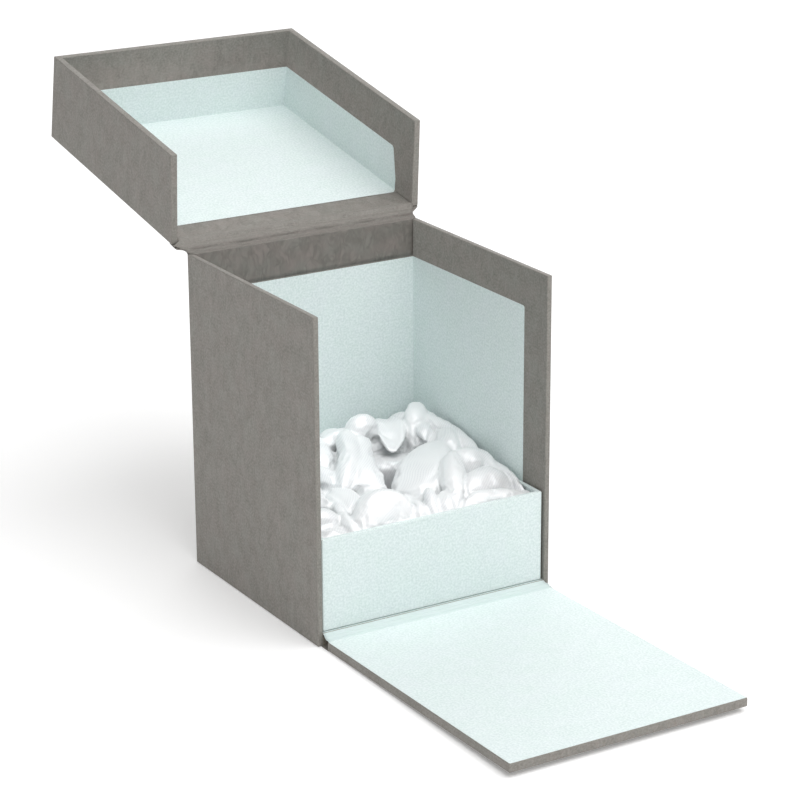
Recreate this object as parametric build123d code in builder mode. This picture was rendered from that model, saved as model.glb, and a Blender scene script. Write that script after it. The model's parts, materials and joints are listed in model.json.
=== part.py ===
"""Jewelry gift box: a rigid paper-covered box with a drop-down front door, a hinged lid and a satin tray.

The frame has +Z up, +X to the right and the open front towards -Y. The origin is the centre of the body's
footprint, on the surface that the box stands on. The box is modelled open: the door lies in front of the
body, and the lid hangs back from the rear wall. All sizes are in millimetres.
"""
import os
from math import cos, radians, sin
from build123d import *

# Sheet materials
paper = 0.15
turn_in = 15.0  # cover paper folded over a board's edge and glued down inside

# Body: three walls on a doubled base, open at the front and the top
body_width = 100.0
body_depth = 96.5
body_height = 124.5
body_board = 1.8
base_board_thickness = 2.4

# Front door
door_width = 97.3
door_length = 119.7
door_board_thickness = 3.0
door_tilt = 0.9  # the stiff fold holds the door's free edge a little off the table, in degrees
door_gap = 4.4  # from the front of the body to the door's hinge edge
door_lining_margin = 0.25

# Lid, in its own coordinates: u runs away from the hinge along the top panel, v from its outer face inwards
lid_width = 108.4
lid_length = 113.7
lid_height = 34.7
lid_wall_board = 2.4
lid_panel_board_thickness = 1.0
lid_tilt = 10.6  # how far the open lid's panel rises towards the back, in degrees
lid_fold_y = 48.3
lid_fold_z = 126.6
lid_flap = 4.55  # bare paper between the fold and the panel board
lid_wall_slant = 4.4  # the side walls' hinge ends lean away from the hinge by this much
lid_turn_in_end = 13.5
lid_lining_start = 16.5
lid_lining_height = 18.7

# Hinge papers
hinge_leg_on_floor = 12.0
hinge_brow = 1.5  # how far in front of the body the inner door hinge starts to drop
hinge_brow_drop = 0.8
hinge_play = 0.1  # between the hinge papers and the door's edge

# Tray with its padding
tray_board = 1.6
tray_height = 35.5
tray_front_setback = 1.0
tray_side_gap = 0.6
tray_back_gap = 0.55
tray_turn_in = 10.0
foam_gap = 1.4  # from the tray's inner faces to the foam
foam_corner_radius = 18.0
foam_top = 56.0
foam_brow_radius = 14.0
well_x, well_y = 5.0, -6.0
well_radius = 13.0
well_floor = 35.0
well_brow_radius = 9.0
satin = 1.0  # the gathered satin's mean thickness
satin_hem = 14.0  # height of the satin's lower hem, tucked between foam and tray

# Derived body sizes
half_width = body_width / 2
half_depth = body_depth / 2
body_wall = body_board + 2 * paper
inner_half_width = half_width - body_wall
inner_back = half_depth - body_wall
board_half_width = half_width - paper
board_half_depth = half_depth - paper
floor_board_top = paper + 2 * base_board_thickness
floor_top = floor_board_top + paper
lining_top = body_height - turn_in - paper
lining_front = -half_depth + turn_in

pieces = {}


def slab(name, plane, low, high):
    """Adds a flat rectangular piece, given its corners in the coordinates of a plane."""
    with BuildPart() as piece:
        with BuildSketch(plane.offset(low[2])):
            with Locations(((low[0] + high[0]) / 2, (low[1] + high[1]) / 2)):
                Rectangle(high[0] - low[0], high[1] - low[1])
        extrude(amount=high[2] - low[2])
    pieces[name] = piece.part
    return piece.part


def plate(name, plane, outline, thickness):
    """Adds a flat piece of any straight-edged outline, standing on a plane."""
    with BuildPart() as piece:
        with BuildSketch(plane):
            with BuildLine():
                Polyline(*outline, close=True)
            make_face()
        extrude(amount=thickness)
    pieces[name] = piece.part
    return piece.part


def beside(path, distance):
    """Moves a path of (y, z) points sideways, to its left, with mitred corners."""
    points = [Vector(*point) for point in path]
    along = [(after - before).normalized() for before, after in zip(points, points[1:])]
    normals = [Vector(-step.Y, step.X) for step in along]
    moved = []
    for number, point in enumerate(points):
        before = normals[max(number - 1, 0)]
        after = normals[min(number, len(normals) - 1)]
        shift = (before + after) * (distance / (1 + before.dot(after)))
        moved.append((point.X + shift.X, point.Y + shift.Y))
    return moved


def strip(name, path, half_length):
    """Adds a strip of paper across the box: its section follows a path of (y, z) points."""
    outline = path + beside(path, paper)[::-1]
    plate(name, Plane.YZ.offset(-half_length), outline, 2 * half_length)


# Base and floor
base_low = (-inner_half_width - paper, -board_half_depth)
base_high = (inner_half_width + paper, inner_back + paper)
base_board = slab("base_board", Plane.XY, (*base_low, paper), (*base_high, paper + base_board_thickness))
floor_board = slab(
    "floor_board", Plane.XY, (*base_low, paper + base_board_thickness), (*base_high, floor_board_top)
)
floor_lining = slab(
    "floor_lining",
    Plane.XY,
    (base_low[0], -half_depth + hinge_leg_on_floor, floor_board_top),
    (*base_high, floor_top),
)
slab("base_cover_paper", Plane.XY, (-half_width, -half_depth, 0), (half_width, half_depth, paper))

# Walls: each a board with a pale lining; the side boards run past the back board's ends
body_inner_parts = [base_board, floor_board, floor_lining]
for side, name in ((-1, "left"), (1, "right")):
    board_x = sorted((side * (inner_half_width + paper), side * board_half_width))
    lining_x = sorted((side * inner_half_width, side * (inner_half_width + paper)))
    body_inner_parts.append(
        slab(
            f"{name}_wall_board",
            Plane.XY,
            (board_x[0], -board_half_depth, paper),
            (board_x[1], board_half_depth, body_height - paper),
        )
    )
    body_inner_parts.append(
        slab(
            f"{name}_wall_lining",
            Plane.XY,
            (lining_x[0], lining_front, floor_top),
            (lining_x[1], inner_back, lining_top),
        )
    )
body_inner_parts.append(
    slab(
        "back_wall_board",
        Plane.XY,
        (-inner_half_width - paper, inner_back + paper, paper),
        (inner_half_width + paper, board_half_depth, body_height - paper),
    )
)
body_inner_parts.append(
    slab(
        "back_wall_lining",
        Plane.XY,
        (-inner_half_width, inner_back, floor_top),
        (inner_half_width, inner_back + paper, lining_top),
    )
)

# Cover paper: round the outside of the three walls, over their edges and turned in
with BuildPart() as body_cover_paper:
    with BuildSketch(Plane.XY.offset(paper)):
        Rectangle(body_width, body_depth)
        with Locations((0, -body_wall)):
            Rectangle(2 * inner_half_width, body_depth, mode=Mode.SUBTRACT)
    extrude(amount=body_height - paper)
    for inner_part in body_inner_parts:
        add(inner_part, mode=Mode.SUBTRACT)
pieces["body_cover_paper"] = body_cover_paper.part

# Front door: its plane starts at the hinge edge, with local y running back towards the body
door_thickness = door_board_thickness + 2 * paper
door_hinge_y = -half_depth - door_gap
door_plane = Plane(
    origin=(0, door_hinge_y, 0), x_dir=(1, 0, 0), z_dir=(0, sin(radians(door_tilt)), cos(radians(door_tilt)))
)
door_half = door_width / 2
door_board = slab(
    "door_board",
    door_plane,
    (-door_half + paper, -door_length + paper, paper),
    (door_half - paper, -paper, door_thickness - paper),
)
door_lining = slab(
    "door_lining",
    door_plane,
    (-door_half + door_lining_margin, -door_length + door_lining_margin, door_thickness - paper),
    (door_half - door_lining_margin, 0, door_thickness),
)
with BuildPart() as door_cover_paper:
    with BuildSketch(door_plane):
        with Locations((0, -door_length / 2)):
            Rectangle(door_width, door_length)
    extrude(amount=door_thickness)
    add(door_board, mode=Mode.SUBTRACT)
    add(door_lining, mode=Mode.SUBTRACT)
pieces["door_cover_paper"] = door_cover_paper.part

# Door hinge: the cover paper runs on under the gap, and a pale strip bridges it from the floor
strip("door_hinge_outer_paper", [(door_hinge_y + hinge_play, 0), (-half_depth, 0)], door_half)
door_edge = door_plane.from_local_coords((0, hinge_play, door_thickness - paper))
strip(
    "door_hinge_inner_paper",
    [
        (door_edge.Y, door_edge.Z),
        (-half_depth - hinge_brow, floor_board_top - hinge_brow_drop),
        (-board_half_depth, floor_board_top),
        (-half_depth + hinge_leg_on_floor, floor_board_top),
    ],
    inner_half_width,
)

# Lid coordinates: the panel plane holds (x, u), and a side plane holds (u, v)
lid_along = (0, cos(radians(lid_tilt)), sin(radians(lid_tilt)))
lid_inwards = (0, -sin(radians(lid_tilt)), cos(radians(lid_tilt)))
lid_plane = Plane(origin=(0, lid_fold_y, lid_fold_z), x_dir=(1, 0, 0), z_dir=lid_inwards)


def lid_side_plane(x):
    """The plane across the lid at a given x: local coordinates are (u, v), extruded towards +X."""
    return Plane(origin=(x, lid_fold_y, lid_fold_z), x_dir=lid_along, z_dir=(1, 0, 0))


def lid_point(u, v):
    """The (y, z) place of a point on the lid's section."""
    point = lid_side_plane(0).from_local_coords((u, v, 0))
    return point.Y, point.Z


def slanted(u, v):
    """The u of a line parallel to the side walls' hinge ends that starts at u on the panel."""
    return u + lid_wall_slant * v / lid_height


lid_half = lid_width / 2
lid_wall = lid_wall_board + 2 * paper
lid_panel = lid_panel_board_thickness + 2 * paper
lid_inner_half = lid_half - lid_wall
lid_front_inner = lid_length - lid_wall
panel_board_top = lid_panel - paper
rim_board = lid_height - paper

lid_inner_parts = [
    slab(
        "lid_panel_board",
        lid_plane,
        (-lid_half + paper, lid_flap + paper, paper),
        (lid_half - paper, lid_length - paper, panel_board_top),
    ),
    slab(
        "lid_front_wall_board",
        lid_plane,
        (-lid_half + paper, lid_front_inner + paper, panel_board_top),
        (lid_half - paper, lid_length - paper, rim_board),
    ),
    slab(
        "lid_front_lining",
        lid_plane,
        (-lid_inner_half, lid_front_inner, lid_panel),
        (lid_inner_half, lid_front_inner + paper, lid_lining_height),
    ),
    slab(
        "lid_floor_lining",
        lid_plane,
        (-lid_inner_half, lid_lining_start, panel_board_top),
        (lid_inner_half, lid_front_inner, lid_panel),
    ),
]
side_board_outline = [
    (slanted(lid_flap + paper, panel_board_top), panel_board_top),
    (lid_front_inner + paper, panel_board_top),
    (lid_front_inner + paper, rim_board),
    (slanted(lid_flap + paper, rim_board), rim_board),
]
lining_end = lid_flap + lid_turn_in_end
side_lining_outline = [
    (slanted(lining_end, lid_panel), lid_panel),
    (lid_front_inner, lid_panel),
    (lid_front_inner, lid_lining_height),
    (slanted(lining_end, lid_lining_height), lid_lining_height),
]
for side, name in ((-1, "left"), (1, "right")):
    board_x = min(side * (lid_inner_half + paper), side * (lid_half - paper))
    lining_x = min(side * lid_inner_half, side * (lid_inner_half + paper))
    lid_inner_parts.append(
        plate(f"lid_{name}_wall_board", lid_side_plane(board_x), side_board_outline, lid_wall_board)
    )
    lid_inner_parts.append(
        plate(f"lid_{name}_lining", lid_side_plane(lining_x), side_lining_outline, paper)
    )

# Lid hinge: two papers glued back to back form the flap, folded down to the rear wall
outer_path = [(half_depth, body_height), (lid_fold_y, lid_fold_z), lid_point(lid_flap, 0)]
strip("lid_hinge_outer_paper", outer_path, half_width)
flap_top = beside(outer_path, paper)
inner_path = [
    (inner_back, body_height),
    (half_depth - paper, body_height),
    flap_top[1],
    lid_point(lid_flap, paper),
    lid_point(lid_flap, panel_board_top),
    lid_point(lid_lining_start, panel_board_top),
]
strip("lid_hinge_inner_paper", inner_path, half_width)

# Lid cover paper: the whole tray-shaped skin, less what it is glued to
lid_outline = [
    (lid_flap, 0),
    (lid_length, 0),
    (lid_length, lid_height),
    (slanted(lid_flap, lid_height), lid_height),
]
lid_hollow = [
    (0, lid_panel),
    (lid_front_inner, lid_panel),
    (lid_front_inner, lid_height),
    (0, lid_height),
]
with BuildPart() as lid_cover_paper:
    with BuildSketch(lid_side_plane(-lid_half)):
        with BuildLine():
            Polyline(*lid_outline, close=True)
        make_face()
    extrude(amount=lid_width)
    with BuildSketch(lid_side_plane(-lid_inner_half)):
        with BuildLine():
            Polyline(*lid_hollow, close=True)
        make_face()
    extrude(amount=2 * lid_inner_half, mode=Mode.SUBTRACT)
    with BuildSketch(lid_plane.offset(panel_board_top)):
        with Locations((0, lid_lining_start / 2)):
            Rectangle(body_width, lid_lining_start)
    extrude(amount=paper, mode=Mode.SUBTRACT)
    for inner_part in lid_inner_parts:
        add(inner_part, mode=Mode.SUBTRACT)
pieces["lid_cover_paper"] = lid_cover_paper.part

# Tray: five boards in a pale paper cover, lifted out by hand
tray_half_width = inner_half_width - tray_side_gap
tray_front = -half_depth + tray_front_setback
tray_back = inner_back - tray_back_gap
tray_wall = tray_board + 2 * paper
tray_top = floor_top + tray_height
tray_floor_top = floor_top + paper + tray_board
board_front = tray_front + paper
board_back = tray_back - paper
board_side = tray_half_width - paper
tray_parts = [
    slab(
        "tray_floor_board",
        Plane.XY,
        (-board_side, board_front, floor_top + paper),
        (board_side, board_back, tray_floor_top),
    ),
    slab(
        "tray_front_board",
        Plane.XY,
        (-board_side, board_front, tray_floor_top),
        (board_side, board_front + tray_board, tray_top - paper),
    ),
    slab(
        "tray_back_board",
        Plane.XY,
        (-board_side, board_back - tray_board, tray_floor_top),
        (board_side, board_back, tray_top - paper),
    ),
]
for side, name in ((-1, "left"), (1, "right")):
    board_x = sorted((side * (board_side - tray_board), side * board_side))
    tray_parts.append(
        slab(
            f"tray_{name}_board",
            Plane.XY,
            (board_x[0], board_front + tray_board, tray_floor_top),
            (board_x[1], board_back - tray_board, tray_top - paper),
        )
    )
tray_middle = (tray_front + tray_back) / 2
tray_depth = tray_back - tray_front
tray_inner_width = 2 * (tray_half_width - tray_wall)
tray_inner_depth = tray_depth - 2 * tray_wall
with BuildPart() as tray_cover_paper:
    with BuildSketch(Plane.XY.offset(floor_top)):
        with Locations((0, tray_middle)):
            Rectangle(2 * tray_half_width, tray_depth)
    extrude(amount=tray_height)
    with BuildSketch(Plane.XY.offset(tray_floor_top)):
        with Locations((0, tray_middle)):
            Rectangle(tray_inner_width, tray_inner_depth)
    extrude(amount=tray_height, mode=Mode.SUBTRACT)
    with BuildSketch(Plane.XY.offset(tray_floor_top)):
        with Locations((0, tray_middle)):
            Rectangle(tray_inner_width + 2 * paper, tray_inner_depth + 2 * paper)
    extrude(amount=tray_top - tray_turn_in - tray_floor_top, mode=Mode.SUBTRACT)
    for tray_part in tray_parts:
        add(tray_part, mode=Mode.SUBTRACT)
pieces["tray_cover_paper"] = tray_cover_paper.part


def cushion(growth, low, top, well_low):
    """A rounded block with a well in its top, used for the foam and, grown, for the satin over it."""
    with BuildPart() as block:
        with BuildSketch(Plane.XY.offset(low)):
            with Locations((0, tray_middle)):
                RectangleRounded(
                    tray_inner_width - 2 * (foam_gap - growth),
                    tray_inner_depth - 2 * (foam_gap - growth),
                    foam_corner_radius + growth,
                )
        extrude(amount=top - low)
        fillet(block.edges().group_by(Axis.Z)[-1], radius=foam_brow_radius + growth)
        with BuildSketch(Plane.XY.offset(well_low)):
            with Locations((well_x, well_y)):
                Circle(well_radius - growth)
        extrude(amount=top - well_low, mode=Mode.SUBTRACT)
        mouth = block.edges().filter_by(GeomType.CIRCLE).group_by(Axis.Z)[-1]
        fillet(mouth.sort_by(SortBy.LENGTH)[-1], radius=well_brow_radius + growth)
    return block.part


foam_block = cushion(0, tray_floor_top, foam_top, well_floor)
pieces["foam_block"] = foam_block
with BuildPart() as satin_lining:
    add(cushion(satin, satin_hem, foam_top + satin, well_floor + satin))
    add(foam_block, mode=Mode.SUBTRACT)
pieces["satin_lining"] = satin_lining.part

os.makedirs("parts", exist_ok=True)
for name, part in pieces.items():
    part.label = name
    export_step(part, f"parts/{name}.step")
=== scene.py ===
"""Jewelry gift box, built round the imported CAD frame. Meshes are in millimetres until they are finished."""

import json
from math import cos, pi, radians, sin, tan

import bmesh
import bpy
import numpy as np
from mathutils import Matrix, Vector
from mathutils.bvhtree import BVHTree

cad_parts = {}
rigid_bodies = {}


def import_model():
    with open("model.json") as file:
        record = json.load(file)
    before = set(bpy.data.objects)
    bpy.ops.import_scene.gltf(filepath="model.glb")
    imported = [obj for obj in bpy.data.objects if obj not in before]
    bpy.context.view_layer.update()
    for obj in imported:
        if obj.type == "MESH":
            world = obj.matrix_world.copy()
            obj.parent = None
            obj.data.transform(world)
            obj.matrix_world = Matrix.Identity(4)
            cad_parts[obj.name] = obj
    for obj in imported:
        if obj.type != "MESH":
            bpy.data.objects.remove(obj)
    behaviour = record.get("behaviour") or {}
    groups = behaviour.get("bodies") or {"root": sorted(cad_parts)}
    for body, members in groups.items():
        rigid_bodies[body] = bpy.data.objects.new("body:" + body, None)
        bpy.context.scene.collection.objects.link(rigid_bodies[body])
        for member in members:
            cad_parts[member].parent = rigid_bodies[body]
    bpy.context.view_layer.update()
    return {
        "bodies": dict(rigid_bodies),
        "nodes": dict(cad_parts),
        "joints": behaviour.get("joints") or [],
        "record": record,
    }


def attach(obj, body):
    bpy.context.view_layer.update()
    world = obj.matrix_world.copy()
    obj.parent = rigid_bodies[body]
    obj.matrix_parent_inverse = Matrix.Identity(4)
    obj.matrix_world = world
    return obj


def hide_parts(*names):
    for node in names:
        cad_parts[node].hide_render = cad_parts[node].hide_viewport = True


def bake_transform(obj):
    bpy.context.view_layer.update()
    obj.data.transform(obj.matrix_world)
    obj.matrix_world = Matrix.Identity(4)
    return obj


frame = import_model()
MM = 0.001
scene = bpy.context.scene

# ----------------------------------------------------------------------------------------------------
# Materials
# ----------------------------------------------------------------------------------------------------


class Nodes:
    """A small helper to write node trees as expressions."""

    def __init__(self, name):
        self.material = bpy.data.materials.new(name)
        self.material.use_nodes = True
        self.tree = self.material.node_tree
        self.tree.nodes.clear()
        self.output = self.tree.nodes.new("ShaderNodeOutputMaterial")
        self.shader = self.tree.nodes.new("ShaderNodeBsdfPrincipled")
        self.link(self.shader.outputs[0], self.output.inputs[0])

    def link(self, a, b):
        self.tree.links.new(a, b)

    def put(self, socket, value):
        if isinstance(value, bpy.types.NodeSocket):
            self.link(value, socket)
        else:
            socket.default_value = value

    def node(self, kind, inputs=(), output=0, **settings):
        node = self.tree.nodes.new(kind)
        for key, value in settings.items():
            setattr(node, key, value)
        for key, value in dict(inputs).items():
            self.put(node.inputs[key], value)
        return node.outputs[output]

    def math(self, operation, a, b=0.0):
        return self.node("ShaderNodeMath", {0: a, 1: b}, operation=operation)

    def vector(self, operation, a, b=None, scale=None):
        inputs = {0: a}
        if b is not None:
            inputs[1] = b
        if scale is not None:
            inputs["Scale"] = scale
        return self.node("ShaderNodeVectorMath", inputs, operation=operation)

    def mapped(self, vector, scale, rotation=(0, 0, 0), location=(0, 0, 0)):
        inputs = {"Vector": vector, "Scale": scale, "Rotation": rotation, "Location": location}
        return self.node("ShaderNodeMapping", inputs)

    def noise(self, vector, scale, detail=3.0, roughness=0.5, distortion=0.0, output=0):
        inputs = {"Vector": vector, "Scale": scale, "Detail": detail, "Roughness": roughness}
        inputs["Distortion"] = distortion
        return self.node("ShaderNodeTexNoise", inputs, output=output)

    def ramp(self, value, low, high, to_low=0.0, to_high=1.0):
        inputs = {"Value": value, "From Min": low, "From Max": high, "To Min": to_low, "To Max": to_high}
        return self.node("ShaderNodeMapRange", inputs, interpolation_type="SMOOTHSTEP")

    def mix(self, factor, a, b):
        return self.node("ShaderNodeMix", {0: factor, 6: a, 7: b}, output=2, data_type="RGBA")

    def bump(self, height, distance, strength=1.0):
        return self.node("ShaderNodeBump", {"Height": height, "Distance": distance, "Strength": strength})

    def attribute(self, name):
        return self.node("ShaderNodeAttribute", output=2, attribute_name=name)

    def shade(self, **values):
        for key, value in values.items():
            self.put(self.shader.inputs[key.replace("_", " ")], value)


def rgb(red, green, blue):
    """A colour given as it looks on a screen, 0 to 255, turned into scene-linear values."""
    parts = [value / 255 for value in (red, green, blue)]
    return (*(p / 12.92 if p <= 0.04045 else ((p + 0.055) / 1.055) ** 2.4 for p in parts), 1.0)


def embossed_paper(name, light, dark, warm, relief, contrast):
    """Cover paper embossed with leafy veins, mostly along the UV map's v axis. UVs are in centimetres."""
    n = Nodes(name)
    uv = n.node("ShaderNodeTexCoord", output=2)
    sway = n.vector("SUBTRACT", n.noise(uv, 1.1, 2, output=1), (0.5, 0.5, 0.5))
    swept = n.vector("ADD", uv, n.vector("SCALE", sway, scale=0.55))
    fibre = n.noise(n.mapped(swept, (1, 0.42, 1)), 1.8, 2, 0.5, 0.7)
    crossing = n.noise(n.mapped(swept, (1, 0.5, 1), (0, 0, 0.75), (3, 7, 0)), 1.5, 2, 0.5, 0.8)
    hair = n.noise(n.mapped(swept, (1, 0.3, 1), (0, 0, -0.4), (9, 2, 0)), 3.4, 2, 0.5, 0.6)
    lines = [n.math("ABSOLUTE", n.math("SUBTRACT", noise, 0.5)) for noise in (fibre, crossing, hair)]
    vein = n.ramp(n.math("MINIMUM", lines[0], lines[1]), 0.0, 0.10, 1.0, 0.0)
    fine = n.ramp(lines[2], 0.0, 0.12, 1.0, 0.0)
    sparse = n.ramp(n.noise(uv, 1.7, 2), 0.38, 0.6, 0.5, 1.0)
    pressed = n.math("MULTIPLY", n.math("ADD", n.math("MULTIPLY", fine, 0.45), vein), sparse)
    grain = n.noise(n.mapped(uv, (1, 0.55, 1)), 15.0, 2, 0.5)
    broad = n.noise(n.mapped(swept, (1, 0.6, 1)), 1.8, 1, 0.4)
    relief_height = n.math("SUBTRACT", n.math("MULTIPLY", grain, 0.06), n.math("MULTIPLY", pressed, 0.55))
    relief_height = n.math("ADD", relief_height, n.math("MULTIPLY", broad, 2.0))
    patch = n.ramp(n.noise(uv, 0.8, 3, 0.6), 0.35, 0.65)
    colour = n.mix(patch, light, warm)
    depth = n.math("ADD", n.math("MULTIPLY", pressed, 0.55), n.ramp(broad, 0.3, 0.7, 0.2, 0.0))
    colour = n.mix(n.math("MULTIPLY", depth, contrast), colour, dark)
    # Paler paper: wear on rubbed edges, and on the lid's hinge flap partly wear and partly a painted sheen.
    wear_and_sheen = n.attribute("wear_and_sheen")
    scuff_and_sheen = n.math("MULTIPLY", wear_and_sheen, n.ramp(n.noise(uv, 12.0, 2), 0.3, 0.75, 0.15, 0.6))
    pale = tuple(min(1.0, c * 1.45 + 0.02) for c in light[:3]) + (1.0,)
    colour = n.mix(scuff_and_sheen, colour, pale)
    n.shade(
        Base_Color=colour,
        Roughness=n.ramp(broad, 0.3, 0.7, 0.64, 0.56),
        Specular_IOR_Level=0.35,
        Normal=n.bump(relief_height, relief * MM, 1.0),
    )
    return n.material


def board_material():
    """Bare greyboard: a pulpy grey-brown with short flecks."""
    n = Nodes("greyboard")
    place = n.node("ShaderNodeTexCoord", output=3)
    pulp = n.noise(place, 900.0, 4, 0.65)
    fleck = n.ramp(n.noise(n.mapped(place, (1, 1, 0.3)), 2400.0, 2), 0.56, 0.7)
    colour = n.mix(pulp, rgb(128, 122, 112), rgb(150, 143, 132))
    colour = n.mix(fleck, colour, rgb(92, 84, 76))
    n.shade(Base_Color=colour, Roughness=0.95, Specular_IOR_Level=0.1, Normal=n.bump(pulp, 0.06 * MM))
    return n.material


def satin_material():
    """White satin: a broad gloss over a fine diagonal twill, seen on some folds, its colour greyed in its
    hollows as painted shade.
    """
    n = Nodes("satin")
    place = n.node("ShaderNodeTexCoord", output=3)
    sway = n.noise(place, 45.0, 2, output=1)
    swept = n.vector("ADD", place, n.vector("SCALE", sway, scale=0.006))

    def threads(direction, spacing):
        inputs = {0: swept, 1: direction}
        along = n.node("ShaderNodeVectorMath", inputs, output=1, operation="DOT_PRODUCT")
        wave = n.math("SINE", n.math("MULTIPLY", along, 2 * pi / (spacing * MM)))
        return n.math("ADD", n.math("MULTIPLY", wave, 0.5), 0.5)

    warp = threads((0.660, -0.583, -0.473), 0.85)
    weft = threads((0.572, -0.018, 0.820), 0.55)
    thread = n.math("MULTIPLY", warp, n.math("ADD", n.math("MULTIPLY", weft, 0.45), 0.55))
    shows = n.ramp(n.noise(place, 70.0, 1), 0.42, 0.62, 0.12, 1.0)
    thread = n.math("MULTIPLY", thread, shows)
    slub = n.noise(n.mapped(swept, (1, 1, 0.25)), 500.0, 3, 0.6)
    painted_shade = n.attribute("painted_shade")
    colour = n.mix(n.math("MULTIPLY", thread, 0.30), rgb(248, 249, 250), rgb(200, 203, 210))
    # Painted shade: the colour goes grey in hollows, where the satin's own folds hide the sky.
    colour = n.mix(n.ramp(painted_shade, 0.2, 0.85, 0.0, 0.7), colour, rgb(168, 172, 172))
    n.shade(
        Base_Color=colour,
        Metallic=0.15,
        Roughness=n.ramp(slub, 0.3, 0.7, 0.36, 0.46),
        Specular_IOR_Level=0.7,
        Sheen_Weight=0.15,
        Sheen_Roughness=0.4,
        Normal=n.bump(thread, 0.03 * MM, 0.7),
    )
    return n.material


MATERIALS = {
    "grey_paper": embossed_paper(
        "grey_paper", light=rgb(130, 128, 122), dark=rgb(96, 93, 88), warm=rgb(133, 126, 121),
        relief=0.07, contrast=0.7,
    ),
    "mint_paper": embossed_paper(
        "mint_paper", light=rgb(208, 223, 220), dark=rgb(186, 204, 201), warm=rgb(211, 223, 223),
        relief=0.028, contrast=0.3,
    ),
    "greyboard": board_material(),
    "satin": satin_material(),
}

# ----------------------------------------------------------------------------------------------------
# Mesh helpers
# ----------------------------------------------------------------------------------------------------


def placed(name, data):
    """A new object in the scene that shows the given data."""
    made = bpy.data.objects.new(name, data)
    scene.collection.objects.link(made)
    return made


def evaluated(piece):
    """A new mesh: the piece's own, as its modifiers leave it."""
    bpy.context.view_layer.update()
    graph = bpy.context.evaluated_depsgraph_get()
    return bpy.data.meshes.new_from_object(piece.evaluated_get(graph))


def finish_piece(name, bm, slot, body, grain=(0, 0, 1), nodes=(), weighted=True):
    """Turns a bmesh in millimetres into a piece: maps it along the grain, scales it and lets it ride."""
    layer = bm.loops.layers.uv.new("UVMap")
    along = Vector(grain).normalized()
    spare = Vector((0, 1, 0)) if abs(along.y) < 0.9 else Vector((0, 0, 1))
    for face in bm.faces:
        face.normal_update()
        up = along - face.normal * along.dot(face.normal)
        if up.length < 0.35:
            up = spare - face.normal * spare.dot(face.normal)
        up.normalize()
        across = up.cross(face.normal)
        for loop in face.loops:
            loop[layer].uv = (loop.vert.co.dot(across) / 10, loop.vert.co.dot(up) / 10)
        face.smooth = True
    bmesh.ops.scale(bm, vec=(MM, MM, MM), verts=bm.verts)
    data = bpy.data.meshes.new(name)
    bm.to_mesh(data)
    bm.free()
    piece = placed(name, data)
    data.materials.append(MATERIALS[slot])
    if nodes:
        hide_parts(*nodes)
    if weighted:
        piece.modifiers.new("Weighted normals", "WEIGHTED_NORMAL").keep_sharp = True
    if body:
        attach(piece, body)
    return piece


def soften(bm, radius, segments=2, sharpest=radians(20)):
    """Rounds every convex edge, and marks the new narrow faces as worn."""
    bm.normal_update()
    closed = [edge for edge in bm.edges if len(edge.link_faces) == 2]
    edges = [edge for edge in closed if edge.is_convex and edge.calc_face_angle(0) > sharpest]
    made = bmesh.ops.bevel(
        bm, geom=edges, offset=radius, segments=segments, profile=0.5, affect="EDGES", clamp_overlap=True
    )
    wear_and_sheen = bm.verts.layers.float.new("wear_and_sheen")
    for face in made["faces"]:
        for vert in face.verts:
            vert[wear_and_sheen] = 1.0
    return bm


class Plane:
    """A place to draw: local (a, b, c) becomes origin + a A + b B + c C."""

    def __init__(self, origin, a, b):
        self.origin, self.a, self.b = Vector(origin), Vector(a), Vector(b)
        self.c = self.a.cross(self.b)

    def at(self, a, b, c=0.0):
        return self.origin + self.a * a + self.b * b + self.c * c


def rounded(points, radii, steps=5):
    """An outline with some of its corners rounded. There is one radius for each point, 0 for a sharp one."""
    outline = []
    for number, (point, radius) in enumerate(zip(points, radii)):
        here = Vector(point)
        if radius == 0:
            outline.append(tuple(here))
            continue
        before = (Vector(points[number - 1]) - here).normalized()
        after = (Vector(points[(number + 1) % len(points)]) - here).normalized()
        half = before.angle(after) / 2
        reach = radius / tan(half)
        middle = here + (before + after).normalized() * (radius / sin(half))
        start, end = here + before * reach - middle, here + after * reach - middle
        sweep = start.angle_signed(end)
        for step in range(steps + 1):
            turn = Matrix.Rotation(-sweep * step / steps, 2)
            outline.append(tuple(middle + turn @ start))
    return outline


def prism(plane, outline, low, high):
    """A closed prism on an outline, between two heights over its plane."""
    bm = bmesh.new()
    bottom = [bm.verts.new(plane.at(a, b, low)) for a, b in outline]
    top = [bm.verts.new(plane.at(a, b, high)) for a, b in outline]
    bm.faces.new(bottom[::-1])
    bm.faces.new(top)
    count = len(outline)
    for number in range(count):
        after = (number + 1) % count
        bm.faces.new((bottom[number], bottom[after], top[after], top[number]))
    bmesh.ops.recalc_face_normals(bm, faces=bm.faces)
    return bm


def hollow_box(corners, faces):
    """A closed mesh from named corner points and faces that list those names."""
    bm = bmesh.new()
    made = {name: bm.verts.new(point) for name, point in corners.items()}
    for face in faces:
        bm.faces.new([made[name] for name in face])
    bmesh.ops.recalc_face_normals(bm, faces=bm.faces)
    return bm


def rectangle(low, high):
    """The corners of a rectangle, anticlockwise from its low one."""
    return [(low[0], low[1]), (high[0], low[1]), (high[0], high[1]), (low[0], high[1])]


def eased(points, steps=6):
    """A smooth path through points, as a Catmull-Rom curve."""
    points = [Vector(p) for p in points]
    ends = [points[0] * 2 - points[1], *points, points[-1] * 2 - points[-2]]
    path = []
    for number in range(1, len(ends) - 2):
        p0, p1, p2, p3 = ends[number - 1 : number + 3]
        for step in range(steps):
            t = step / steps
            path.append(
                0.5 * (2 * p1 + (p2 - p0) * t + (2 * p0 - 5 * p1 + 4 * p2 - p3) * t * t
                       + (3 * p1 - p0 - 3 * p2 + p3) * t ** 3)
            )
    path.append(ends[-2])
    return path


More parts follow.
